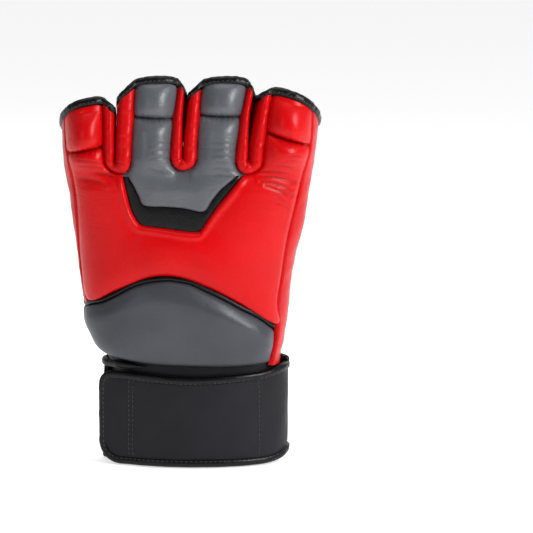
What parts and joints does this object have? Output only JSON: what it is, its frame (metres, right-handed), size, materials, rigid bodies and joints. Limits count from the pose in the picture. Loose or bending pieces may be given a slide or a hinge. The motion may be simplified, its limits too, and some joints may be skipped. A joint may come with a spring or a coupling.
{
  "type": "grappling glove",
  "caption": "Open-finger padded grappling glove for the left hand, with knuckle pads, mesh palm, grip bar, thumb sheath and a wrap-around wrist strap.",
  "frame": {"origin": "middle of the glove's footprint, on the plane of the cuff's lower edge, where the glove stands", "axes": "+Z from the cuff towards the finger openings, -Y out of the back of the hand, +Y out of the palm, +X towards the thumb side"},
  "size_m": [0.1334, 0.083, 0.2033],
  "materials": {
    "red_leather": "semi-gloss pebbled synthetic leather",
    "grey_leather": "semi-gloss fine-grained synthetic leather",
    "light_grey_leather": "smooth semi-gloss synthetic leather",
    "black_leather": "folded binding, soft sheen",
    "strap_leather": "matte coated leather",
    "black_mesh": "knitted spacer mesh",
    "foam": "closed-cell foam, hidden",
    "lining": "brushed textile",
    "hook_and_loop": "hook and loop tape"
  },
  "bodies": {
    "hand": {"hand_back_panel": "red_leather", "knuckle_centre_panel": "grey_leather", "vee_inlay": "black_leather", "backhand_foam": "foam", "hand_lining": "lining", "wrist_pad_cover": "grey_leather", "wrist_pad_foam": "foam", "wrist_pad_piping": "black_leather", "little_side_gusset": "red_leather", "thumb_side_gusset": "red_leather", "palm_panel": "black_mesh", "grip_bar_patch": "black_leather", "grip_bar_cover": "black_leather", "grip_bar_core": "foam", "cuff_band": "strap_leather", "cuff_loop_patch": "hook_and_loop", "strap_base": "strap_leather", "strap_base_top_binding": "black_leather", "strap_base_bottom_binding": "black_leather"},
    "little_finger": {"little_tube": "black_mesh", "little_rim_binding": "black_leather", "little_lower_pad": "red_leather", "little_upper_pad": "red_leather", "little_foam": "foam", "little_left_fourchette": "red_leather", "little_right_fourchette": "red_leather"},
    "ring_finger": {"ring_tube": "black_mesh", "ring_rim_binding": "black_leather", "ring_lower_pad": "grey_leather", "ring_upper_pad": "grey_leather", "ring_foam": "foam", "ring_left_fourchette": "red_leather", "ring_right_fourchette": "red_leather"},
    "middle_finger": {"middle_tube": "black_mesh", "middle_rim_binding": "black_leather", "middle_lower_pad": "grey_leather", "middle_upper_pad": "grey_leather", "middle_foam": "foam", "middle_left_fourchette": "red_leather", "middle_right_fourchette": "red_leather"},
    "index_finger": {"index_tube": "black_mesh", "index_rim_binding": "black_leather", "index_lower_pad": "red_leather", "index_upper_pad": "red_leather", "index_foam": "foam", "index_left_fourchette": "red_leather", "index_right_fourchette": "red_leather"},
    "thumb": {"thumb_sheath": "light_grey_leather", "thumb_binding": "black_leather"},
    "strap": {"strap_flap": "strap_leather", "strap_binding": "black_leather", "strap_hook_patch": "hook_and_loop"}
  },
  "joints": [
    {"name": "little_flex", "type": "hinge", "parent": "hand", "child": "little_finger", "pos_m": [-0.05191, -0.0051, 0.152], "axis": [-1, 0, 0], "range_deg": [0, 38], "stiffness_Nm_per_rad": 0.06},
    {"name": "ring_flex", "type": "hinge", "parent": "hand", "child": "ring_finger", "pos_m": [-0.01991, -0.0051, 0.152], "axis": [-1, 0, 0], "range_deg": [0, 38], "stiffness_Nm_per_rad": 0.06},
    {"name": "middle_flex", "type": "hinge", "parent": "hand", "child": "middle_finger", "pos_m": [0.01409, -0.0051, 0.152], "axis": [-1, 0, 0], "range_deg": [0, 38], "stiffness_Nm_per_rad": 0.06},
    {"name": "index_flex", "type": "hinge", "parent": "hand", "child": "index_finger", "pos_m": [0.04709, -0.0051, 0.152], "axis": [-1, 0, 0], "range_deg": [0, 38], "stiffness_Nm_per_rad": 0.06},
    {"name": "thumb_swing", "type": "hinge", "parent": "hand", "child": "thumb", "pos_m": [0.04309, 0.0069, 0.09], "axis": [0, 0, -1], "range_deg": [0, 28], "stiffness_Nm_per_rad": 0.04},
    {"name": "strap_peel", "type": "hinge", "parent": "hand", "child": "strap", "pos_m": [0.04959, -0.0091, 0.025], "axis": [0, 0, 1], "range_deg": [0, 100]}
  ]
}
